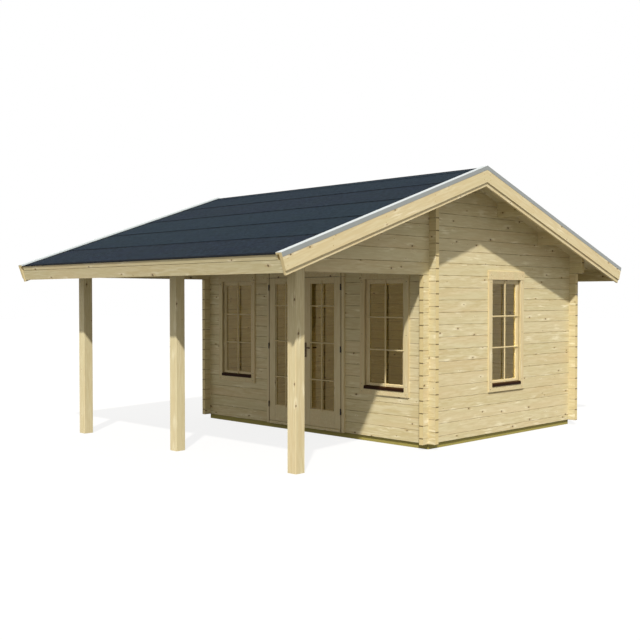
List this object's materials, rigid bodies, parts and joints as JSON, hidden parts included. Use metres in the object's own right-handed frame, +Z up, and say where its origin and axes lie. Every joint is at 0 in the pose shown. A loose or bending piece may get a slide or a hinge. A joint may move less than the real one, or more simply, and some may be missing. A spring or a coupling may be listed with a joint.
{
  "type": "log cabin with veranda",
  "caption": "Small log cabin with interlocked log corners, a glazed double door, barred windows and a deep post-carried veranda under one saddle roof covered in felt.",
  "frame": {"origin": "on the ground, under the middle of the ridge, which is the bottom centre of the overall box", "axes": "+X along the ridge towards the right gable, +Y from the door side to the back, +Z up"},
  "size_m": [4.896, 6.328, 3.2161],
  "materials": {
    "spruce_logs": "planed spruce logs, bare",
    "spruce_posts": "planed spruce posts and beams, bare",
    "spruce_boards": "tongued spruce boards, bare",
    "spruce_trim": "planed spruce boards, bare",
    "spruce_joinery": "sanded spruce joinery, bare",
    "pressure_treated": "pressure-treated pine, green",
    "roofing_felt": "mineral-surfaced bitumen felt, anthracite",
    "verge_metal": "mill-finish folded sheet",
    "brown_stain": "spruce with dark brown stain",
    "window_glass": "clear float glass",
    "black_iron": "black powder coat, satin"
  },
  "bodies": {
    "cabin": {"front_wall_right": "spruce_logs", "front_wall_left": "spruce_logs", "front_wall_upper": "spruce_logs", "back_wall": "spruce_logs", "right_gable_lower": "spruce_logs", "right_gable_upper": "spruce_logs", "left_gable_lower": "spruce_logs", "left_gable_upper": "spruce_logs", "left_post": "spruce_posts", "middle_post": "spruce_posts", "right_post": "spruce_posts", "canopy_beam": "spruce_posts", "ridge_purlin": "spruce_posts", "front_purlins": "spruce_posts", "back_purlins": "spruce_posts", "front_roof_boards": "spruce_boards", "back_roof_boards": "spruce_boards", "floor": "spruce_boards", "right_barge_boards": "spruce_trim", "left_barge_boards": "spruce_trim", "right_verge_boards": "spruce_trim", "left_verge_boards": "spruce_trim", "front_fascia": "spruce_trim", "back_fascia": "spruce_trim", "door_frame": "spruce_joinery", "window_frames": "spruce_joinery", "window_casings": "spruce_joinery", "foundation_beams": "pressure_treated", "front_felt": "roofing_felt", "back_felt": "roofing_felt", "ridge_felt": "roofing_felt", "right_verge_caps": "verge_metal", "left_verge_caps": "verge_metal", "window_sills": "brown_stain", "threshold": "brown_stain", "window_panes": "window_glass", "fixed_hinges": "black_iron"},
    "right_door": {"right_door_leaf": "spruce_joinery", "right_door_glass": "window_glass", "right_door_hinges": "black_iron", "door_handle": "black_iron"},
    "left_door": {"left_door_leaf": "spruce_joinery", "left_door_glass": "window_glass", "left_door_hinges": "black_iron"}
  },
  "joints": [
    {"name": "right_door_hinge", "type": "hinge", "parent": "cabin", "child": "right_door", "pos_m": [0.6575, -0.531, 1.04], "axis": [0, 0, 1], "range_deg": [0, 105]},
    {"name": "left_door_hinge", "type": "hinge", "parent": "cabin", "child": "left_door", "pos_m": [-0.6575, -0.531, 1.04], "axis": [0, 0, -1], "range_deg": [0, 105]}
  ]
}
